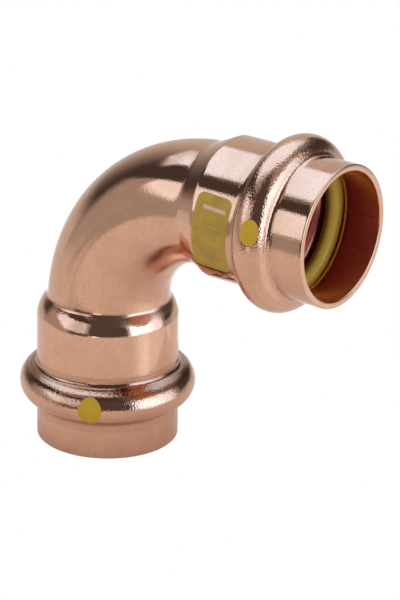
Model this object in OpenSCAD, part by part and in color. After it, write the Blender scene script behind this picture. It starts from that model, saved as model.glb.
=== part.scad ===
// Press fit elbow: one bent copper tube, with a socket formed at each end and a seal ring in each bead.
// Millimetres. The lower socket stands on its mouth at the origin, and the side socket faces +X.

/* [Pipe] */
// Outside diameter of the pipe that each socket takes
pipe_d = 22; // [15:1:35]
// Radial gap between the pipe and the bore of the socket
pipe_gap = 0.15; // [0.1:0.05:0.3]

/* [Tube] */
// Wall of the copper tube, the same in the sockets and the bend
wall = 1.15; // [0.9:0.05:1.5]
// Radius of the bend, to the middle of the tube
bend_r = 23.8; // [20:0.2:40]
// Angle that the tube turns through
bend_angle = 90; // [30:5:90]
// Distance from the end of the bore to the start of the bend
bore_to_bend = 1.8; // [0.4:0.1:12]

/* [Socket] */
// Depth of the bore's parallel wall, from the mouth to the start of the stop
bore_depth = 22.6; // [20:0.2:36]
// Rounding of the mouth's outer and inner edge
mouth_edge_r = 0.2; // [0.1:0.05:0.4]
// Height of the step, from the bore to the bend's inner face, that stops the pipe
stop_height = 1.85; // [1.4:0.05:2.5]
// Outer radius of the round where the socket starts to close in to the bend
shoulder_r = 4.2; // [3.2:0.1:5]
// Fall of the cone that follows this round, for each millimetre along the arm
shoulder_taper = 0.75; // [0.6:0.05:0.9]

/* [Bead] */
// Distance from the mouth to the middle of the bead
bead_position = 10; // [8:0.2:14]
// Radius of the fillets at the bead's two feet
bead_foot_r = 0.9; // [0.5:0.1:1.5]

/* [Seal ring] */
// Diameter of the ring's round section
seal_section = 3.1; // [2.6:0.1:3.4]
// Bite of the ring on the pipe, measured on the radius
seal_bite = 0.03; // [0:0.01:0.08]
// Gap between the ring and the floor of its groove
seal_gap = 0.05; // [0.02:0.01:0.1]
// Spare half width of the groove beside the ring
groove_room = 0.65; // [0.3:0.05:0.9]

/* [Hidden] */
$fn = 96;

// Radii of the tube's outer face, from the bore outwards
bore_r = pipe_d / 2 + pipe_gap;
socket_r = bore_r + wall;
tube_r = socket_r - stop_height;

// The ring closes on the pipe, the groove wraps the ring, and the bead is the groove's outer face
seal_inner_r = pipe_d / 2 - seal_bite;
seal_pitch_r = seal_inner_r + seal_section / 2;
groove_r = seal_inner_r + seal_section + seal_gap;
bead_arc_r = seal_section / 2 + groove_room + wall;
bead_centre = [groove_r + wall - bead_arc_r, bead_position];

// The shoulder's round, the way out to where its cone starts, and the place where the bend takes over
shoulder_centre = [socket_r - shoulder_r, bore_depth];
to_cone = [1, shoulder_taper] / norm([1, shoulder_taper]);
bend_start = bore_depth + bore_to_bend;

copper = "#c98f74";
seal_yellow = "#b59a2e";

// Half section of the fillet between the bead and the socket's straight wall, on one side of the bead
module bead_foot(inset, side) {
    foot_r = bead_foot_r + inset;
    centre_r = socket_r - inset + foot_r;
    reach = sqrt(pow(bead_arc_r + bead_foot_r, 2) - pow(centre_r - bead_centre.x, 2));
    centre = [centre_r, bead_position + side * reach];
    difference() {
        polygon([centre, bead_centre, [0, bead_position], [0, centre.y]]);
        translate(centre) circle(foot_r);
    }
}

// Half section of the shoulder: its round, and the cone that goes on into the bend
module shoulder(inset) {
    cone_start = shoulder_centre + (shoulder_r - inset) * to_cone;
    cone_tip = [0, cone_start.y + cone_start.x / shoulder_taper];
    translate(shoulder_centre) circle(shoulder_r - inset);
    polygon([[0, bore_depth], shoulder_centre, cone_start, cone_tip]);
}

// Half section of all that lies inside the arm's outer face, or inside its inner face at an inset of the wall
module arm_outline(inset) {
    square([socket_r - inset, bore_depth]);
    translate(bead_centre) circle(bead_arc_r - inset);
    for (side = [-1, 1]) bead_foot(inset, side);
    shoulder(inset);
    square([tube_r - inset, bend_start]);
}

// Half section of the corner that is rounded away at one edge of the mouth; the wall lies towards side
module mouth_corner(edge_r, side) {
    centre = [edge_r + side * mouth_edge_r, mouth_edge_r];
    difference() {
        translate([min(edge_r, centre.x), 0]) square(mouth_edge_r);
        translate(centre) circle(mouth_edge_r);
    }
}

// Puts a piece of the lower arm in the same place on the side arm
module on_side_arm() {
    translate([bend_r, 0, bend_start])
        rotate([0, bend_angle, 0])
            translate([-bend_r, 0, bend_start])
                rotate([180, 0, 0])
                    children();
}

// The tube filled in up to one of its faces, from the lower mouth to the side one
module filled_tube(inset) {
    rotate_extrude() arm_outline(inset);
    translate([bend_r, 0, bend_start])
        rotate([90, 0, 180])
            rotate_extrude(angle = bend_angle)
                translate([bend_r, 0]) circle(tube_r - inset);
    on_side_arm() rotate_extrude() arm_outline(inset);
}

module mouth_corners() {
    rotate_extrude() {
        mouth_corner(socket_r, -1);
        mouth_corner(bore_r, 1);
    }
}

module seal_ring() {
    translate([0, 0, bead_position])
        rotate_extrude()
            translate([seal_pitch_r, 0]) circle(seal_section / 2);
}

module elbow_body() {
    color(copper)
        difference() {
            filled_tube(0);
            filled_tube(wall);
            mouth_corners();
            on_side_arm() mouth_corners();
        }
}

module lower_seal() {
    color(seal_yellow) seal_ring();
}

module side_seal() {
    color(seal_yellow) on_side_arm() seal_ring();
}

elbow_body();
lower_seal();
side_seal();
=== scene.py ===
import math

import bmesh
import bpy
from mathutils import Matrix, Vector


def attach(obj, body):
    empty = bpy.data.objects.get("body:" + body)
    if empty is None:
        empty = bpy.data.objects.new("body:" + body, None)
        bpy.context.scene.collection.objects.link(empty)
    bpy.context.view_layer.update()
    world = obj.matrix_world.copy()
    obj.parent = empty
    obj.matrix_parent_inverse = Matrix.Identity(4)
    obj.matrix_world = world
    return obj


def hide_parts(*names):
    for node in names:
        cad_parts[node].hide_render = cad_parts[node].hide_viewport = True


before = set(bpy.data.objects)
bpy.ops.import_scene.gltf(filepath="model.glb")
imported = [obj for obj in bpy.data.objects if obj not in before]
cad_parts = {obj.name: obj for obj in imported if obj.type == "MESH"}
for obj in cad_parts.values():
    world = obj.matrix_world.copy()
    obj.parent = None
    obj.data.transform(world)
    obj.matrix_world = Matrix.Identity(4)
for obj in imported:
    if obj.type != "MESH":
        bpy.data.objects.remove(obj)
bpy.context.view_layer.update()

# The elbow's body is one length of copper tube, bent and then widened at both ends in a press.
# Each end has a shoulder, a parallel wall, a bead that holds the seal, and a short lip with a rounded mouth.
# Half of it is spun from its section and mirrored, and the side shoulder is then made a straighter cone.
MM = 0.001
MERGE = 0.001 * MM
SLICES = 192
SMOOTH = math.radians(40)
bore_r = 11.15
wall = 1.15
socket_r = bore_r + wall
tube_r = 10.45
bore_depth = 22.6
edge_r = 2.6
edge_lean = 14.5
curve_r = 6.2
cone_lean = 38
cone_slope = math.tan(math.radians(cone_lean))
edge_axis_r = socket_r - edge_r
curve_axis_r = edge_axis_r - (curve_r - edge_r) * math.cos(math.radians(edge_lean))
curve_axis_z = bore_depth - (curve_r - edge_r) * math.sin(math.radians(edge_lean))
crease_round = 0.33
bead_at = 10.0
bead_axis_r = 11.92
bead_arc_r = 3.35
foot_r = 0.9
mouth_edge_r = 0.2
bend_r = 23.8
bend_start = 24.4
half_turn = math.pi / 4
reach = bend_r + bend_start

# Rings of points stand these distances from an arc's end, and hold the shading of the faces beside it.
near_ring = 0.25
edge_ring = 0.6
far_ring = 1.5


def arc(axis_r, axis_z, radius, first, last, steps):
    """Points of an arc in the half section, in millimetres, from the first angle to the last."""
    points = []
    for step in range(steps + 1):
        angle = math.radians(first + (last - first) * step / steps)
        points.append((axis_r + radius * math.cos(angle), axis_z + radius * math.sin(angle)))
    return points


def crease_height(inset):
    """Height of the line where the shoulder's cone meets the bend, on the outer or the inner face."""
    lean = math.radians(cone_lean)
    cone_r = curve_axis_r + (curve_r - inset) * math.cos(lean)
    cone_z = curve_axis_z + (curve_r - inset) * math.sin(lean)
    return cone_z + (cone_r - tube_r + inset) / cone_slope


def socket_face(inset):
    """One face of the socket, from just above its mouth to just under the crease."""
    foot_axis_r = socket_r + foot_r
    foot_rise = math.sqrt((bead_arc_r + foot_r) ** 2 - (foot_axis_r - bead_axis_r) ** 2)
    lean = math.degrees(math.atan2(foot_rise, foot_axis_r - bead_axis_r))
    face_r = socket_r - inset
    low_foot = bead_at - foot_rise
    high_foot = bead_at + foot_rise
    lip_rings = (mouth_edge_r + near_ring, low_foot - far_ring, low_foot - near_ring)
    wall_rings = (high_foot + near_ring, high_foot + far_ring)
    edge_rings = (bore_depth - edge_ring, bore_depth - near_ring)
    under_crease = 1.4 * crease_round
    points = [(face_r, z) for z in lip_rings]
    points += arc(foot_axis_r, low_foot, foot_r + inset, 180, 180 - lean, steps=7)
    points += arc(bead_axis_r, bead_at, bead_arc_r - inset, -lean, lean, steps=24)[1:-1]
    points += arc(foot_axis_r, high_foot, foot_r + inset, 180 + lean, 180, steps=7)
    points += [(face_r, z) for z in wall_rings + edge_rings]
    points += arc(edge_axis_r, bore_depth, edge_r - inset, 0, edge_lean, steps=5)
    points += arc(curve_axis_r, curve_axis_z, curve_r - inset, edge_lean, cone_lean, steps=10)[1:]
    points.append((tube_r - inset + under_crease * math.sin(math.radians(cone_lean)),
                   crease_height(inset) - under_crease * math.cos(math.radians(cone_lean))))
    return points


def spin_round(steps):
    """In edit mode, spins an outline once round the upright axis and closes the seam."""
    bpy.ops.mesh.select_all(action="SELECT")
    bpy.ops.mesh.spin(steps=steps, angle=math.tau, center=(0, 0, 0), axis=(0, 0, 1))
    bpy.ops.mesh.select_all(action="SELECT")
    bpy.ops.mesh.remove_doubles(threshold=MERGE)


section = list(reversed(socket_face(wall)))
section += arc(bore_r + mouth_edge_r, mouth_edge_r, mouth_edge_r, 180, 270, steps=5)
section += arc(socket_r - mouth_edge_r, mouth_edge_r, mouth_edge_r, 270, 360, steps=5)
section += socket_face(0)
corners = [(r * MM, 0, z * MM) for r, z in section]
bpy.ops.object.select_all(action="DESELECT")
outline = bpy.data.meshes.new("copper_elbow")
outline.from_pydata(corners, [(i, i + 1) for i in range(len(corners) - 1)], [])
elbow = bpy.data.objects.new("copper_elbow", outline)
bpy.context.collection.objects.link(elbow)
bpy.context.view_layer.objects.active = elbow
elbow.select_set(True)
bpy.ops.object.mode_set(mode="EDIT")
spin_round(SLICES)
bpy.ops.object.mode_set(mode="OBJECT")


def value_at(marks, distance):
    """Value at a distance, on straight lines between the listed pairs of distance and value."""
    if distance <= marks[0][0]:
        return marks[0][1]
    for (near, first), (far, last) in zip(marks, marks[1:]):
        if distance < far:
            return first + (last - first) * (distance - near) / (far - near)
    return marks[-1][1]


def lowered_by(toward, radius):
    """How much lower the crease runs: nothing at the back of the bend, and most at its throat."""
    return throat_drop * (1 + toward / radius) / 2


# The crease runs lower at the throat, where bending pushed copper together.
# The shoulder's points slide down along its profile to meet it.
throat_drop = 0.5
shoulders = {}
for inset in (0, wall):
    shoulders[inset] = [(z, r) for r, z in socket_face(inset) if z >= bore_depth - near_ring]
for vertex in elbow.data.vertices:
    x, y, z = vertex.co / MM
    if z > bore_depth:
        radius = math.hypot(x, y)
        inset = 0 if radius > value_at(shoulders[0], z) - wall / 2 else wall
        rise = (z - bore_depth) / (crease_height(inset) - bore_depth)
        lower = z - lowered_by(x, radius) * rise
        slid = value_at(shoulders[inset], lower)
        vertex.co = Vector((x * slid / radius, y * slid / radius, lower)) * MM


def half_bend(inset):
    """Half of one face of the bend, whose first rings slide along the tube and widen to meet the crease."""
    centre = (bend_r * MM, 0, bend_start * MM)
    bpy.ops.object.select_all(action="DESELECT")
    bpy.ops.mesh.primitive_circle_add(
        vertices=SLICES, radius=(tube_r - inset) * MM, location=(0, 0, bend_start * MM))
    ring = bpy.context.object
    bpy.ops.object.transform_apply(location=True)
    bpy.ops.object.mode_set(mode="EDIT")
    bpy.ops.mesh.select_all(action="SELECT")
    bpy.ops.mesh.spin(steps=20, angle=half_turn, center=centre, axis=(0, -1, 0))
    bpy.ops.object.mode_set(mode="OBJECT")
    for vertex in ring.data.vertices:
        along = bend_r - vertex.co.x / MM
        up = vertex.co.z / MM - bend_start
        toward = bend_r - math.hypot(along, up)
        drop = lowered_by(toward, tube_r - inset)
        rise = crease_height(inset) - drop - bend_start
        leaning = toward / tube_r * rise ** 2 / (2 * (bend_r - toward))
        widest = (drop * cone_slope - leaning) / tube_r
        start = math.asin(rise / (bend_r - toward * (1 + widest)))
        turn = math.atan2(up, along) * (1 - start / half_turn)
        widen = 1 + widest * max(0, 1 - turn / swell_turn) ** 2
        radius = bend_r - toward * widen
        vertex.co = Vector((bend_r - radius * math.cos(start + turn), vertex.co.y / MM * widen,
                            bend_start + radius * math.sin(start + turn))) * MM
    return ring


# The bend's widened start fades out over this turn, in radians.
swell_turn = 0.35
outer_bend = half_bend(0)
inner_bend = half_bend(wall)
bpy.ops.object.select_all(action="DESELECT")
outer_bend.select_set(True)
inner_bend.select_set(True)
elbow.select_set(True)
bpy.context.view_layer.objects.active = elbow
bpy.ops.object.join()
bpy.ops.object.mode_set(mode="EDIT")
between_faces = tube_r - 0.2
below_the_middle = 30
for outer in (True, False):
    bpy.ops.mesh.select_all(action="DESELECT")
    cage = bmesh.from_edit_mesh(elbow.data)
    for edge in cage.edges:
        place = edge.verts[0].co / MM
        on_outer = math.hypot(place.x, place.y) > between_faces
        if edge.is_boundary and place.z < below_the_middle and on_outer == outer:
            edge.select_set(True)
    bmesh.update_edit_mesh(elbow.data)
    bpy.ops.mesh.bridge_edge_loops()
bpy.ops.object.mode_set(mode="OBJECT")
bpy.ops.object.empty_add(location=(reach / 2 * MM, 0, reach / 2 * MM), rotation=(0, -math.pi / 4, 0))
middle = bpy.context.object
bpy.context.view_layer.update()
bpy.ops.object.select_all(action="DESELECT")
bpy.context.view_layer.objects.active = elbow
elbow.select_set(True)
halves = elbow.modifiers.new("other_half", "MIRROR")
halves.mirror_object = middle
halves.use_mirror_merge = True
halves.merge_threshold = MERGE
bpy.ops.object.modifier_apply(modifier=halves.name)
bpy.data.objects.remove(middle)
bpy.ops.object.mode_set(mode="EDIT")
bpy.ops.mesh.select_all(action="SELECT")
bpy.ops.mesh.normals_make_consistent(inside=False)

# Both creases get a small round: an edge is on one if both its ends are at the crease's height and radius.
crease_from_r = 10
crease_to_r = 11.2
crease_tolerance = 0.01
bpy.ops.mesh.select_all(action="DESELECT")
cage = bmesh.from_edit_mesh(elbow.data)
for edge in cage.edges:
    low_ends = [v.co / MM for v in edge.verts]
    side_ends = [Vector((reach - v.z, v.y, reach - v.x)) for v in low_ends]
    for ends in (low_ends, side_ends):
        across = [math.hypot(v.x, v.y) for v in ends]
        if not all(crease_from_r < a < crease_to_r for a in across):
            continue
        creases = [crease_height(0) - lowered_by(v.x, a) for v, a in zip(ends, across)]
        if all(abs(v.z - c) < crease_tolerance for v, c in zip(ends, creases)):
            edge.select_set(True)
bmesh.update_edit_mesh(elbow.data)
bpy.ops.mesh.bevel(offset=crease_round * MM, segments=4, affect="EDGES")

# The side end's shoulder is straight, from the parallel wall to a soft crease.
cone_start = bore_depth - near_ring
shoulder_limit = bend_start + 4
side_soft = 1.5
bpy.ops.mesh.select_all(action="DESELECT")
cage = bmesh.from_edit_mesh(elbow.data)
for vertex in cage.verts:
    from_axis = math.hypot(reach * MM - vertex.co.z, vertex.co.y)
    depth = reach - vertex.co.x / MM
    if depth > shoulder_limit or from_axis < (value_at(shoulders[0], depth) - wall / 2) * MM:
        continue
    drop = lowered_by(reach - vertex.co.z / MM, from_axis / MM)
    crease = crease_height(0) - drop
    end_r = tube_r + drop * cone_slope
    if cone_start < depth < crease:
        grown = socket_r + (end_r - socket_r) * (depth - cone_start) / (crease - cone_start)
        vertex.co.y *= grown * MM / from_axis
        vertex.co.z = reach * MM + (vertex.co.z - reach * MM) * grown * MM / from_axis
    if abs(depth - crease) < side_soft:
        vertex.select_set(True)
bmesh.update_edit_mesh(elbow.data)
bpy.ops.mesh.vertices_smooth(factor=0.5, repeat=10)
bpy.ops.object.mode_set(mode="OBJECT")
bpy.ops.object.shade_smooth_by_angle(angle=SMOOTH)


def along_the_tube(place):
    """A point's way out from the tube's middle line, its way towards the bend's centre, and its length."""
    x, y, z = place / MM
    if z < bend_start and x < reach / 2:
        return Vector((x, y, 0)), x, z
    if x > reach - bend_start:
        return Vector((0, y, z - reach)), reach - z, whole_length - (reach - x)
    turn = math.atan2(z - bend_start, bend_r - x)
    toward = bend_r - math.hypot(bend_r - x, z - bend_start)
    out = Vector((toward * math.cos(turn), y, -toward * math.sin(turn)))
    return out, toward, bend_start + bend_r * turn


# Copper that the press stretched turns grainy, the rollers leave rings at the bead's feet,
# where the creases are also darkened with painted shade, and the throat of the bend, where the copper was
# squeezed, is dull.
# Each list pairs a distance in millimetres, from the mouth or towards the throat, with a strength.
stretched = [(0, 0.14), (5.4, 0.14), (7.2, 0.7), (12.8, 0.7), (14.6, 0.14)]
stretched += [(22.2, 0.12), (23, 0.22), (26, 0.2), (28, 0.1)]
# The rolled list also sets how strong the painted shade at the bead's feet is.
rolled_and_shaded = [(5.0, 0), (6.0, 0.55), (7.4, 0.2), (11.4, 0.2), (12.6, 0.9), (14.2, 1.0), (15.6, 0)]
squeezed = [(3, 0), (9, 1)]
side_rolled_and_shaded = 0.5
map_r = 12
whole_length = 2 * bend_start + bend_r * math.pi / 2
flow = elbow.data.attributes.new("flow", "FLOAT_VECTOR", "POINT")
formed = elbow.data.attributes.new("formed", "FLOAT_VECTOR", "POINT")
for vertex in elbow.data.vertices:
    out, toward, length = along_the_tube(vertex.co)
    angle = math.atan2(out.y, toward)
    from_mouth = min(length, whole_length - length)
    roll = value_at(rolled_and_shaded, from_mouth) * (1 if length < whole_length / 2 else side_rolled_and_shaded)
    squeeze = value_at(squeezed, toward) if from_mouth > bend_start else 0
    flow.data[vertex.index].vector = Vector((math.cos(angle), math.sin(angle), length / map_r)) * map_r * MM
    formed.data[vertex.index].vector = (value_at(stretched, from_mouth), roll, squeeze)


def effect(name, inputs, outputs):
    """An empty node group with named sockets, and its two ends."""
    group = bpy.data.node_groups.new(name, "ShaderNodeTree")
    for socket, kind, value in inputs:
        made = group.interface.new_socket(socket, in_out="INPUT", socket_type=kind)
        if value is not None:
            made.default_value = value
    for socket, kind in outputs:
        group.interface.new_socket(socket, in_out="OUTPUT", socket_type=kind)
    return group, group.nodes.new("NodeGroupInput"), group.nodes.new("NodeGroupOutput")


def maths(tree, operation, first, second):
    """A Math node whose two inputs are each a socket or a number."""
    node = tree.nodes.new("ShaderNodeMath")
    node.operation = operation
    for socket, value in zip(node.inputs, (first, second)):
        if isinstance(value, (int, float)):
            socket.default_value = value
        else:
            tree.links.new(value, socket)
    return node.outputs["Value"]


def stretch(tree, value, low, high, out_low, out_high):
    """A Map Range node that turns the stretch from low to high into another."""
    node = tree.nodes.new("ShaderNodeMapRange")
    node.interpolation_type = "SMOOTHSTEP"
    node.inputs["From Min"].default_value = low
    node.inputs["From Max"].default_value = high
    node.inputs["To Min"].default_value = out_low
    node.inputs["To Max"].default_value = out_high
    tree.links.new(value, node.inputs["Value"])
    return node.outputs["Result"]


def colour_mix(tree, mask, first, second):
    """A Mix node of two colours, each a socket or plain numbers."""
    node = tree.nodes.new("ShaderNodeMix")
    node.data_type = "RGBA"
    tree.links.new(mask, node.inputs["Factor"])
    for socket, value in ((node.inputs["A"], first), (node.inputs["B"], second)):
        if isinstance(value, tuple):
            socket.default_value = (*value, 1)
        else:
            tree.links.new(value, socket)
    return node.outputs["Result"]


# Fine grain: the roughness of a pressed or moulded face, at two sizes.
grain_group, start, end = effect(
    "fine_grain", [("Vector", "NodeSocketVector", None), ("Scale", "NodeSocketFloat", 3000.0)],
    [("Height", "NodeSocketFloat")])
fine = grain_group.nodes.new("ShaderNodeTexNoise")
fine.inputs["Detail"].default_value = 2
coarse = grain_group.nodes.new("ShaderNodeTexNoise")
coarse.inputs["Detail"].default_value = 1
grain_group.links.new(start.outputs["Vector"], fine.inputs["Vector"])
grain_group.links.new(start.outputs["Vector"], coarse.inputs["Vector"])
grain_group.links.new(start.outputs["Scale"], fine.inputs["Scale"])
grain_group.links.new(maths(grain_group, "MULTIPLY", start.outputs["Scale"], 0.28), coarse.inputs["Scale"])
fine_part = maths(grain_group, "MULTIPLY", fine.outputs["Fac"], 0.6)
coarse_part = maths(grain_group, "MULTIPLY", coarse.outputs["Fac"], 0.9)
grain_group.links.new(maths(grain_group, "ADD", fine_part, coarse_part), end.inputs["Height"])

# Clouds: slow drifts of a surface from clean to dull.
cloud_group, start, end = effect(
    "dull_clouds", [("Vector", "NodeSocketVector", None), ("Scale", "NodeSocketFloat", 200.0)],
    [("Dullness", "NodeSocketFloat")])
drift = cloud_group.nodes.new("ShaderNodeTexNoise")
drift.inputs["Detail"].default_value = 4
drift.inputs["Roughness"].default_value = 0.6
cloud_group.links.new(start.outputs["Vector"], drift.inputs["Vector"])
cloud_group.links.new(start.outputs["Scale"], drift.inputs["Scale"])
cloud_group.links.new(stretch(cloud_group, drift.outputs["Fac"], 0.38, 0.72, 0, 1), end.inputs["Dullness"])

# Pits: small marks of handling, each in a cell of its own and many cells left clean.
pit_group, start, end = effect(
    "handling_pits", [("Vector", "NodeSocketVector", None), ("Scale", "NodeSocketFloat", 500.0)],
    [("Pit", "NodeSocketFloat")])
cells = pit_group.nodes.new("ShaderNodeTexVoronoi")
pit_group.links.new(start.outputs["Vector"], cells.inputs["Vector"])
pit_group.links.new(start.outputs["Scale"], cells.inputs["Scale"])
chance = pit_group.nodes.new("ShaderNodeSeparateColor")
pit_group.links.new(cells.outputs["Color"], chance.inputs["Color"])
pit_size = stretch(pit_group, chance.outputs["Red"], 0.80, 1.0, 0, 0.09)
pit_depth = maths(pit_group, "SUBTRACT", pit_size, cells.outputs["Distance"])
pit_group.links.new(stretch(pit_group, pit_depth, 0, 0.04, 0, 1), end.inputs["Pit"])

# Draw lines: faint lines along the tube, left by the die that it was drawn through.
line_group, start, end = effect(
    "draw_lines", [("Flow", "NodeSocketVector", None), ("Scale", "NodeSocketFloat", 1000.0)],
    [("Line", "NodeSocketFloat")])
pull = line_group.nodes.new("ShaderNodeMapping")
pull.inputs["Scale"].default_value = (1, 1, 0.035)
line_group.links.new(start.outputs["Flow"], pull.inputs["Vector"])
threads = line_group.nodes.new("ShaderNodeTexNoise")
threads.inputs["Detail"].default_value = 4
threads.inputs["Roughness"].default_value = 0.65
line_group.links.new(pull.outputs["Vector"], threads.inputs["Vector"])
line_group.links.new(start.outputs["Scale"], threads.inputs["Scale"])
line_group.links.new(threads.outputs["Fac"], end.inputs["Line"])


def place_effect(tree, group, vector, scale):
    """Puts one of the effects in a material, with its coordinates and its number of grains to a metre."""
    node = tree.nodes.new("ShaderNodeGroup")
    node.node_tree = group
    tree.links.new(vector, node.inputs[0])
    node.inputs["Scale"].default_value = scale
    return node.outputs[0]


def bumped(tree, shader, height, strength, distance):
    """Gives a shader relief from a height, in millimetres."""
    relief = tree.nodes.new("ShaderNodeBump")
    relief.inputs["Strength"].default_value = strength
    relief.inputs["Distance"].default_value = distance * MM
    tree.links.new(height, relief.inputs["Height"])
    tree.links.new(relief.outputs["Normal"], shader.inputs["Normal"])


def new_finish(name):
    """A new material, with its node tree, its shader and the piece's own coordinates."""
    finish = bpy.data.materials.new(name)
    finish.use_nodes = True
    tree = finish.node_tree
    object_place = tree.nodes.new("ShaderNodeTexCoord").outputs["Object"]
    return finish, tree, tree.nodes["Principled BSDF"], object_place


def own_map(tree, name):
    """An Attribute node that reads a value kept at the mesh's points."""
    node = tree.nodes.new("ShaderNodeAttribute")
    node.attribute_name = name
    return node


# Outside, the copper is bright, with fine crystals, draw lines, and painted shade in the creases at the
# bead's feet, laid in the rollers' rings.
clean_copper = (0.83, 0.475, 0.33)
dull_copper = (0.76, 0.415, 0.28)
mottled_copper = (0.68, 0.36, 0.235)
speckled_copper = (0.66, 0.35, 0.235)
scored_copper = (0.70, 0.37, 0.245)
pitted_copper = (0.42, 0.21, 0.14)
shaded_foot_copper = (0.40, 0.19, 0.12)
copper, tree, metal, object_place = new_finish("formed_copper")
metal.inputs["Metallic"].default_value = 1
flow_place = own_map(tree, "flow").outputs["Vector"]
press_and_shade_marks = tree.nodes.new("ShaderNodeSeparateXYZ")
tree.links.new(own_map(tree, "formed").outputs["Vector"], press_and_shade_marks.inputs["Vector"])
ring_map = tree.nodes.new("ShaderNodeMapping")
ring_map.inputs["Scale"].default_value = (0.02, 0.02, 1)
tree.links.new(flow_place, ring_map.inputs["Vector"])
crystals = tree.nodes.new("ShaderNodeTexNoise")
crystals.inputs["Scale"].default_value = 3700
crystals.inputs["Detail"].default_value = 0.5
tree.links.new(object_place, crystals.inputs["Vector"])
mottle = place_effect(tree, cloud_group, object_place, scale=900)
dullness = place_effect(tree, cloud_group, flow_place, scale=170)
pit = place_effect(tree, pit_group, object_place, scale=640)
line = place_effect(tree, line_group, flow_place, scale=700)
ring = place_effect(tree, grain_group, ring_map.outputs["Vector"], scale=2400)
speckle = stretch(tree, crystals.outputs["Fac"], 0.4, 0.7, 0, 0.45)
# Painted shade: the creases at the bead's feet are darkened, in the rollers' ring lines.
painted_foot_shade = maths(tree, "MULTIPLY", stretch(tree, ring, 0.62, 0.9, 0.3, 0.95), press_and_shade_marks.outputs["Y"])
tone = colour_mix(tree, dullness, clean_copper, dull_copper)
tone = colour_mix(tree, maths(tree, "MULTIPLY", mottle, 0.25), tone, mottled_copper)
tone = colour_mix(tree, speckle, tone, speckled_copper)
tone = colour_mix(tree, stretch(tree, line, 0.45, 0.75, 0, 0.3), tone, scored_copper)
tone = colour_mix(tree, painted_foot_shade, tone, shaded_foot_copper)
tree.links.new(colour_mix(tree, pit, tone, pitted_copper), metal.inputs["Base Color"])
rough = stretch(tree, line, 0.3, 0.75, 0.045, 0.09)
rough = maths(tree, "ADD", rough, maths(tree, "MULTIPLY", dullness, 0.03))
rough = maths(tree, "ADD", rough, maths(tree, "MULTIPLY", press_and_shade_marks.outputs["Z"], 0.16))
rough = maths(tree, "ADD", rough, maths(tree, "MULTIPLY", pit, 0.2))
tree.links.new(rough, metal.inputs["Roughness"])
peel = maths(tree, "SUBTRACT", crystals.outputs["Fac"], 0.5)
peel = maths(tree, "MULTIPLY", peel, press_and_shade_marks.outputs["X"])
rings = maths(tree, "MULTIPLY", maths(tree, "SUBTRACT", ring, 0.75), press_and_shade_marks.outputs["Y"])
marks = maths(tree, "ADD", maths(tree, "MULTIPLY", peel, 0.28), maths(tree, "MULTIPLY", rings, 0.4))
scored = maths(tree, "MULTIPLY", maths(tree, "SUBTRACT", line, pit), 0.05)
bumped(tree, metal, maths(tree, "ADD", marks, scored), strength=1.0, distance=0.2)

# The bore keeps a redder and duller film from annealing.
clean_film = (0.88, 0.33, 0.255)
dull_film = (0.78, 0.28, 0.21)
bore, tree, film, object_place = new_finish("annealed_bore")
film.inputs["Metallic"].default_value = 1
flow_place = own_map(tree, "flow").outputs["Vector"]
grain = place_effect(tree, grain_group, object_place, scale=2400)
dullness = place_effect(tree, cloud_group, flow_place, scale=240)
line = place_effect(tree, line_group, flow_place, scale=500)
tree.links.new(colour_mix(tree, dullness, clean_film, dull_film), film.inputs["Base Color"])
tree.links.new(stretch(tree, line, 0.3, 0.75, 0.27, 0.32), film.inputs["Roughness"])
relief = maths(tree, "ADD", grain, maths(tree, "MULTIPLY", line, 0.1))
bumped(tree, film, relief, strength=0.1, distance=0.2)

# Faces that look in at the middle line are the bore; near the mouth, only those that face it squarely are.
mouth_zone = 0.3
facing_square = -0.9
facing_in = -0.05
elbow.data.materials.clear()
elbow.data.materials.append(copper)
elbow.data.materials.append(bore)
for face in elbow.data.polygons:
    out = along_the_tube(face.center)[0]
    to_mouth = min(face.center.z, reach * MM - face.center.x)
    limit = facing_square if to_mouth < mouth_zone * MM else facing_in
    face.material_index = 1 if face.normal.dot(out.normalized()) < limit else 0
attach(elbow, "root")
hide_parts("elbow_body")

# A seal ring lies in the groove under each bead: round section, moulded in yellow rubber.
# It is pushed into the groove by hand, and a fine ridge inside and outside shows where its mould closed.
# The side that faces into the fitting is darkened with painted shade, the shade of the groove.
seal_r = 1.55
seal_axis_r = 12.52
seal_sides = 64
seal_slices = 160
ridge = 0.04
on_the_side = seal_r - 0.001
seal_place = (seal_axis_r * MM, 0, bead_at * MM)
bpy.ops.object.select_all(action="DESELECT")
bpy.ops.mesh.primitive_circle_add(
    vertices=seal_sides, radius=seal_r * MM, location=seal_place, rotation=(math.pi / 2, 0, 0))
lower_ring = bpy.context.object
lower_ring.name = "lower_seal_ring"
bpy.ops.object.transform_apply(location=True, rotation=True)
bpy.ops.object.mode_set(mode="EDIT")
for way in (-1, 1):
    bpy.ops.mesh.select_all(action="DESELECT")
    cage = bmesh.from_edit_mesh(lower_ring.data)
    for vertex in cage.verts:
        if way * (vertex.co.x - seal_axis_r * MM) > on_the_side * MM:
            vertex.select_set(True)
    bmesh.update_edit_mesh(lower_ring.data)
    bpy.ops.transform.translate(value=(way * ridge * MM, 0, 0))
spin_round(seal_slices)
bpy.ops.mesh.normals_make_consistent(inside=False)
bpy.ops.object.mode_set(mode="OBJECT")
bpy.ops.object.shade_smooth_by_angle(angle=SMOOTH)
# The depth along the axis places the painted shade of the groove.
depth = lower_ring.data.attributes.new("depth", "FLOAT", "POINT")
for vertex in lower_ring.data.vertices:
    depth.data[vertex.index].value = (vertex.co.z / MM - bead_at) / seal_r

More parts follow.
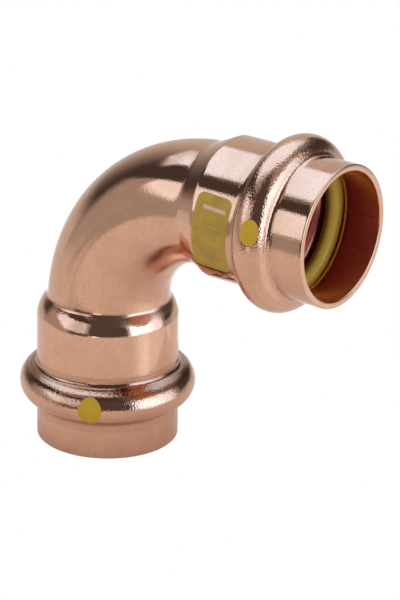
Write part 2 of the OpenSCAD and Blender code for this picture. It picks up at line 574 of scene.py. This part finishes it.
clean_rubber = (0.78, 0.58, 0.08)
dull_rubber = (0.69, 0.51, 0.07)
groove_shade_rubber = (0.15, 0.09, 0.02)
pitted_rubber = (0.58, 0.50, 0.16)
rubber, tree, soft, object_place = new_finish("yellow_seal_rubber")
grain = place_effect(tree, grain_group, object_place, scale=5200)
dullness = place_effect(tree, cloud_group, object_place, scale=420)
pit = place_effect(tree, pit_group, object_place, scale=900)
# Painted shade of the groove: the rubber darkens towards the side that faces into the fitting.
painted_groove_shade = stretch(tree, own_map(tree, "depth").outputs["Fac"], -0.55, 0.4, 0, 0.85)
tone = colour_mix(tree, dullness, clean_rubber, dull_rubber)
tone = colour_mix(tree, painted_groove_shade, tone, groove_shade_rubber)
tree.links.new(colour_mix(tree, pit, tone, pitted_rubber), soft.inputs["Base Color"])
tree.links.new(stretch(tree, dullness, 0, 1, 0.26, 0.40), soft.inputs["Roughness"])
bumped(tree, soft, grain, strength=0.10, distance=0.12)
lower_ring.data.materials.append(rubber)
side_ring = lower_ring.copy()
side_ring.data = lower_ring.data.copy()
side_ring.name = "side_seal_ring"
bpy.context.collection.objects.link(side_ring)
to_side = Matrix(((0, 0, -1, reach * MM), (0, -1, 0, 0), (-1, 0, 0, reach * MM), (0, 0, 0, 1)))
side_ring.data.transform(to_side)
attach(lower_ring, "root")
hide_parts("lower_seal")
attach(side_ring, "root")
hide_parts("side_seal")

# A round dot of yellow ink on each bead tells the fitter which seal is inside.
# It is pad printed, so it is a thin film that follows the bead.
film_thickness = 0.05
film_lift = 0.02
dot_sides = 64
dot_rings = 9
pad_distance = 2
fresh_ink = (0.53, 0.325, 0.022)
dull_ink = (0.48, 0.29, 0.02)
pitted_ink = (0.33, 0.22, 0.05)
ink, tree, paint, object_place = new_finish("yellow_dot_ink")
paint.inputs["Specular IOR Level"].default_value = 0.25
grain = place_effect(tree, grain_group, object_place, scale=2600)
dullness = place_effect(tree, cloud_group, object_place, scale=600)
pit = place_effect(tree, pit_group, object_place, scale=1300)
tone = colour_mix(tree, dullness, fresh_ink, dull_ink)
tree.links.new(colour_mix(tree, pit, tone, pitted_ink), paint.inputs["Base Color"])
tree.links.new(stretch(tree, dullness, 0, 1, 0.5, 0.62), paint.inputs["Roughness"])
bumped(tree, paint, grain, strength=0.12, distance=0.15)


def thicken(sheet):
    """Gives a sheet of ink the film's thickness, towards the copper."""
    body = sheet.modifiers.new("film", "SOLIDIFY")
    body.thickness = film_thickness * MM
    body.offset = -1
    bpy.ops.object.modifier_apply(modifier=body.name)


def ink_dot(name, place, out, level, width, height):
    """Presses a flat oval of ink onto the bead, from outside; its width runs along the level direction."""
    bpy.ops.object.select_all(action="DESELECT")
    bpy.ops.mesh.primitive_circle_add(vertices=dot_sides, radius=1, fill_type="NGON")
    dot = bpy.context.object
    dot.name = name
    bpy.ops.object.mode_set(mode="EDIT")
    bpy.ops.mesh.select_all(action="SELECT")
    for ring in range(dot_rings):
        bpy.ops.mesh.inset(thickness=1 / (dot_rings + 1))
    bpy.ops.mesh.select_all(action="SELECT")
    bpy.ops.transform.resize(value=(width * MM / 2, height * MM / 2, 1))
    bpy.ops.object.mode_set(mode="OBJECT")
    turn = Matrix((level, out.cross(level), out)).transposed()
    dot.matrix_world = Matrix.Translation((place + out * pad_distance) * MM) @ turn.to_4x4()
    bpy.context.view_layer.update()
    press = dot.modifiers.new("press", "SHRINKWRAP")
    press.target = elbow
    press.wrap_method = "PROJECT"
    press.wrap_mode = "ABOVE_SURFACE"
    press.use_project_z = True
    press.use_negative_direction = True
    press.use_positive_direction = False
    press.offset = film_lift * MM
    bpy.ops.object.modifier_apply(modifier=press.name)
    thicken(dot)
    bpy.ops.object.transform_apply(location=True, rotation=True, scale=True)
    bpy.ops.object.shade_smooth_by_angle(angle=SMOOTH)
    dot.data.materials.append(ink)
    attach(dot, "root")


low_angle = math.radians(-65.0)
low_out = Vector((math.cos(low_angle), math.sin(low_angle), 0))
low_place = low_out * (bead_axis_r + bead_arc_r) + Vector((0, 0, bead_at))
low_level = Vector((-low_out.y, low_out.x, 0))
ink_dot("lower_ink_dot", low_place, low_out, low_level, width=4.15, height=4.8)
side_angle = math.radians(-102.4)
side_tilt = math.radians(23)
side_radial = Vector((0, math.sin(side_angle), -math.cos(side_angle)))
side_out = side_radial * math.cos(side_tilt) + Vector((math.sin(side_tilt), 0, 0))
side_place = Vector((reach - bead_at, 0, reach)) + side_radial * bead_axis_r + side_out * bead_arc_r
side_level = side_out.cross(Vector((-1, 0, 0))).normalized()
ink_dot("side_ink_dot", side_place, side_out, side_level, width=4.45, height=3.1)

# The field of yellow ink is printed on the side socket's parallel wall, with rounded corners.
# It lies a little askew. One plain bar is left open in it, and the ink is thinner in seven faint ones.
field_width = 6.9
field_height = 14.1
field_corner = 1.3
field_strips = 36
field_from_mouth = 18.45
field_angle = math.radians(-88.2)
askew = math.radians(-3.5)
bpy.ops.object.select_all(action="DESELECT")
bpy.ops.mesh.primitive_plane_add(size=1)
field = bpy.context.object
field.name = "side_ink_field"
bpy.ops.object.mode_set(mode="EDIT")
bpy.ops.mesh.select_all(action="SELECT")
bpy.ops.transform.resize(value=(field_width, field_height, 1))
bpy.ops.mesh.bevel(offset=field_corner, segments=8, affect="VERTICES")
for cut in range(1, field_strips):
    bpy.ops.mesh.select_all(action="SELECT")
    bpy.ops.mesh.bisect(plane_co=(0, field_height * (cut / field_strips - 0.5), 0), plane_no=(0, 1, 0))
bpy.ops.object.mode_set(mode="OBJECT")
print_map = field.data.uv_layers.new(name="print")
for loop in field.data.loops:
    flat = field.data.vertices[loop.vertex_index].co
    print_map.data[loop.index].uv = (flat.x / field_width + 0.5, flat.y / field_height + 0.5)
for vertex in field.data.vertices:
    along = vertex.co.x * math.cos(askew) - vertex.co.y * math.sin(askew)
    around = vertex.co.x * math.sin(askew) + vertex.co.y * math.cos(askew)
    angle = field_angle - around / socket_r
    radius = socket_r + film_lift
    x = reach - field_from_mouth + along
    vertex.co = Vector((x, radius * math.sin(angle), reach - radius * math.cos(angle))) * MM
thicken(field)
bpy.ops.object.shade_smooth_by_angle(angle=SMOOTH)


def between(tree, value, low, high, soft):
    """A mask of a value: 1 between two limits, with soft edges."""
    off_centre = maths(tree, "ABSOLUTE", maths(tree, "SUBTRACT", value, (low + high) / 2), 0)
    return stretch(tree, off_centre, (high - low) / 2 - soft, (high - low) / 2 + soft, 1, 0)


def bars(rows):
    """A mask of plain bars, each given by its two ends and its two edges, as shares of the field."""
    shown = None
    for left, right, low, high in rows:
        across = between(tree, sheet.outputs["X"], left, right, bar_end_soft)
        upward = between(tree, sheet.outputs["Y"], low, high, bar_edge_soft)
        bar = maths(tree, "MULTIPLY", across, upward)
        shown = bar if shown is None else maths(tree, "MAXIMUM", shown, bar)
    return shown


bar_end_soft = 0.012
bar_edge_soft = 0.006
open_bar = (0.22, 0.88, 0.81, 0.855)
faint_height = 0.02
faint_lines = [(0.30, 0.86, 0.625), (0.30, 0.86, 0.575), (0.30, 0.70, 0.525)]
faint_lines += [(0.14, 0.84, 0.34), (0.14, 0.84, 0.285), (0.14, 0.60, 0.23), (0.14, 0.84, 0.175)]
faint_bars = [(left, right, low, low + faint_height) for left, right, low in faint_lines]
fresh_field = (0.44, 0.265, 0.022)
dull_field = (0.37, 0.22, 0.019)
thin_field = (0.30, 0.17, 0.06)
pitted_field = (0.27, 0.16, 0.05)
open_metal = (0.74, 0.46, 0.33)
field_ink, tree, paint, object_place = new_finish("yellow_field_ink")
printed = tree.nodes.new("ShaderNodeUVMap")
printed.uv_map = "print"
sheet = tree.nodes.new("ShaderNodeSeparateXYZ")
tree.links.new(printed.outputs["UV"], sheet.inputs["Vector"])
grain = place_effect(tree, grain_group, object_place, scale=2600)
dullness = place_effect(tree, cloud_group, object_place, scale=420)
pit = place_effect(tree, pit_group, object_place, scale=1000)
opened = bars([open_bar])
tone = colour_mix(tree, dullness, fresh_field, dull_field)
tone = colour_mix(tree, maths(tree, "MULTIPLY", bars(faint_bars), 0.55), tone, thin_field)
tone = colour_mix(tree, pit, tone, pitted_field)
tree.links.new(colour_mix(tree, opened, tone, open_metal), paint.inputs["Base Color"])
tree.links.new(maths(tree, "MULTIPLY", opened, 0.6), paint.inputs["Metallic"])
tree.links.new(stretch(tree, dullness, 0, 1, 0.42, 0.55), paint.inputs["Roughness"])
bumped(tree, paint, grain, strength=0.12, distance=0.15)
field.data.materials.append(field_ink)
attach(field, "root")

# The studio: a pale floor under the fitting, which the camera sees as white.
# The floor near the fitting shows in its reflections; farther out, the room's own pale floor does.
paper_colour = (0.87, 0.85, 0.835, 1)
floor_middle = -0.004
paper = bpy.data.materials.new("pale_paper")
paper.use_nodes = True
tree = paper.node_tree
tree.nodes.remove(tree.nodes["Principled BSDF"])
matte = tree.nodes.new("ShaderNodeBsdfDiffuse")
matte.inputs["Color"].default_value = paper_colour
glow = tree.nodes.new("ShaderNodeEmission")
glow.inputs["Color"].default_value = (1, 1, 1, 1)
seen = tree.nodes.new("ShaderNodeLightPath")
which = tree.nodes.new("ShaderNodeMixShader")
tree.links.new(seen.outputs["Is Camera Ray"], which.inputs["Fac"])
tree.links.new(matte.outputs["BSDF"], which.inputs[1])
tree.links.new(glow.outputs["Emission"], which.inputs[2])
tree.links.new(which.outputs["Shader"], tree.nodes["Material Output"].inputs["Surface"])
for name, size, below in (("floor", 0.8, 0.0002), ("floor_near", 0.096, 0)):
    bpy.ops.object.select_all(action="DESELECT")
    bpy.ops.mesh.primitive_plane_add(size=size, location=(floor_middle, floor_middle, -below))
    floor = bpy.context.object
    floor.name = name
    bpy.ops.object.transform_apply(location=True)
    floor.data.materials.append(paper)
    floor.visible_glossy = name == "floor_near"

# The room round it is made of soft panels of light, which the copper mirrors, and is white to the camera.
# Angles are in degrees from the camera, to the right and up, and each panel lies over those before it.
# Matte faces get an even light from the room.
camera_turn = 35.402
room = bpy.data.worlds.new("studio")
room.use_nodes = True
room.cycles.sampling_method = "NONE"
bpy.context.scene.world = room
tree = room.node_tree
backdrop = tree.nodes["Background"]
turned = tree.nodes.new("ShaderNodeVectorRotate")
turned.rotation_type = "Z_AXIS"
turned.inputs["Angle"].default_value = math.radians(-camera_turn)
tree.links.new(tree.nodes.new("ShaderNodeTexCoord").outputs["Generated"], turned.inputs["Vector"])
way = tree.nodes.new("ShaderNodeSeparateXYZ")
tree.links.new(turned.outputs["Vector"], way.inputs["Vector"])
to_camera = maths(tree, "MULTIPLY", way.outputs["Y"], -1)
compass = maths(tree, "DEGREES", maths(tree, "ARCTAN2", way.outputs["X"], to_camera), 0)
from_camera = maths(tree, "ABSOLUTE", compass, 0)
height = maths(tree, "DEGREES", maths(tree, "ARCSINE", way.outputs["Z"], 0), 0)


def span(across, left, right, across_soft, up, low, high, up_soft):
    """A mask of a soft panel, from its left to its right and from its low to its high edge."""
    sideways = between(tree, across, left, right, across_soft)
    return maths(tree, "MULTIPLY", sideways, between(tree, up, low, high, up_soft))


def lay(shown, panels):
    """Lays panels over what is shown: each has its sides, their softness, its ends, theirs, and a light."""
    for left, right, across_soft, low, high, up_soft, light in panels:
        mask = span(compass, left, right, across_soft, height, low, high, up_soft)
        shown = colour_mix(tree, mask, shown, light)
    return shown


# Behind the fitting the wall is paler, with a dark streak on the left that fades to both sides.
dark = (0.07, 0.065, 0.065)
wall_grey = (0.45, 0.46, 0.455)
back_grey = (0.63, 0.65, 0.63)
shown = colour_mix(tree, span(from_camera, 122, 240, 2, height, -30, 45, 3), wall_grey, back_grey)
streak_left = stretch(tree, compass, -178, -123, 0, 1)
streak_right = stretch(tree, compass, -123, -107, 1, 0)
streak = maths(tree, "MINIMUM", streak_left, streak_right)
streak = maths(tree, "MULTIPLY", streak, stretch(tree, height, 40, 45, 1, 0))
streak = maths(tree, "MULTIPLY", streak, stretch(tree, height, -7, 8, 0, 1))
shown = colour_mix(tree, streak, shown, dark)

# Round the camera the room is dark. On the left is a window with a shaded right half,
# whose left end is cut by a slope below and a dark corner above.
camera_gap = (-31, 36, 4, -12, 72, 4, (0.10, 0.09, 0.085))
left_window = (-96, -36, 2, 3, 34, 2, (1.15, 1.42, 1.68))
left_window_shade = (-62, -36, 10, 3, 34, 2, (0.76, 0.87, 0.98))
shown = lay(shown, [camera_gap, left_window, left_window_shade])
past_slope = maths(tree, "MINIMUM", maths(tree, "ADD", compass, 72), 0)
falling = maths(tree, "ADD", height, maths(tree, "MULTIPLY", past_slope, 0.7))
shown = colour_mix(tree, span(compass, -101, -72, 1.5, falling, -60, 4.5, 3), shown, wall_grey)
past_corner = maths(tree, "ADD", compass, 114)
rising = maths(tree, "SUBTRACT", height, maths(tree, "MULTIPLY", past_corner, 0.36))
corner = span(compass, -126, -86, 3, rising, 22.5, 90, 2)
corner = maths(tree, "MULTIPLY", corner, between(tree, height, -90, 49, 1.5))
shown = colour_mix(tree, corner, shown, dark)
above_window = (-118, -28, 4, 34, 48, 1.5, dark)
under_window = (-64, -32, 4, -22, 1, 3, (0.14, 0.135, 0.13))

# On the right is the brightest window, with a dim and a dark stretch of wall beyond it.
right_window = (38, 97, 3, -15, 31, 4, (1.25, 1.65, 2.15))
right_window_core = (38, 78, 7, -15, 31, 4, (1.6, 2.4, 3.2))
right_dim = (92, 140, 8, 28, 48, 4, (0.32, 0.315, 0.31))
right_dark = (104, 157, 5, -1, 30, 4, dark)
shown = lay(shown, [above_window, under_window, right_window, right_window_core, right_dim, right_dark])

# Overhead is one large panel, whose place is given on a level ceiling at a height of 1.
ceiling_light = (1.15, 1.64, 2.2)
overhead = maths(tree, "MAXIMUM", way.outputs["Z"], 0.02)
over_right = maths(tree, "DIVIDE", way.outputs["X"], overhead)
over_near = maths(tree, "DIVIDE", to_camera, overhead)
off_middle = maths(tree, "ABSOLUTE", over_right, 0)
near_edge = maths(tree, "ADD", over_near, maths(tree, "MULTIPLY", off_middle, 0.35))
right_edge = maths(tree, "ADD", over_right, maths(tree, "MULTIPLY", over_near, 0.14))
ceiling = span(over_right, -0.86, 0.85, 0.05, near_edge, -3, 0.26, 0.05)
ceiling = maths(tree, "MULTIPLY", ceiling, between(tree, over_near, -1.04, 9, 0.05))
ceiling = maths(tree, "MULTIPLY", ceiling, between(tree, right_edge, -9, 0.78, 0.05))
shown = colour_mix(tree, ceiling, shown, ceiling_light)

# Last come a small lamp behind on the left, the floor, and the bright places on the floor.
back_lamp = (-160, -119, 3, 38, 45, 3, (0.86, 1.1, 1.32))
back_lamp_edge = (-120, -98, 2, 40, 50, 1.5, dark)
skirting_left = (-200, -95, 8, -30, -10, 3, (0.69, 0.70, 0.68))
skirting_near = (-100, -81, 3, -30, -15.5, 1.5, (0.71, 0.71, 0.69))
room_floor = (-200, 200, 0.5, -100, -19, 3, (0.755, 0.745, 0.715))
right_floor = (48, 98, 9, -50, -15, 4, (0.92, 0.98, 0.96))
right_floor_band = (57, 72, 6, -27, -15, 3, (1.08, 1.2, 1.2))
right_floor_end = (98, 121, 4, -31, -19, 3, (0.88, 0.98, 1.0))
front_glint = (-27, -13, 2.5, -18, -11, 2, (1.45, 1.65, 1.85))
back_floor_light = (1.0, 1.12, 1.2)
shown = lay(shown, [back_lamp, back_lamp_edge, skirting_left, skirting_near, room_floor])
shown = lay(shown, [right_floor, right_floor_band, right_floor_end, front_glint])
shown = colour_mix(tree, span(from_camera, 160, 200, 6, height, -40, -12, 4), shown, back_floor_light)
even_light = (0.9, 0.9, 0.9)
white = (1, 1, 1)
path = tree.nodes.new("ShaderNodeLightPath")
shown = colour_mix(tree, path.outputs["Is Diffuse Ray"], shown, even_light)
tree.links.new(colour_mix(tree, path.outputs["Is Camera Ray"], shown, white), backdrop.inputs["Color"])
bpy.context.scene.view_settings.view_transform = "Standard"

# The camera stands where the photograph was taken from, with a long lens.
# Its place, lean and lens come from fitting the elbow's outline to the photograph's.
focal_length = 250.752
camera_back = 710.879
aim_right = -3.639
aim_up = 6.151
turn = math.radians(camera_turn)
lift = math.radians(22.79)
roll = math.radians(0.787)
back = Vector((math.sin(turn) * math.cos(lift), -math.cos(turn) * math.cos(lift), math.sin(lift)))
level = (-back).cross(Vector((0, 0, 1))).normalized()
upright = level.cross(-back)
right = level * math.cos(roll) + upright * math.sin(roll)
up = upright * math.cos(roll) - level * math.sin(roll)
lens = bpy.data.cameras.new("camera")
lens.lens = focal_length
lens.sensor_width = 36
lens.clip_start = 0.01
camera = bpy.data.objects.new("camera", lens)
bpy.context.collection.objects.link(camera)
aim = Vector((reach / 2, 0, reach / 2)) + right * aim_right + up * aim_up
place = (aim + back * camera_back) * MM
camera.matrix_world = Matrix.Translation(place) @ Matrix((right, up, back)).transposed().to_4x4()
bpy.context.scene.camera = camera
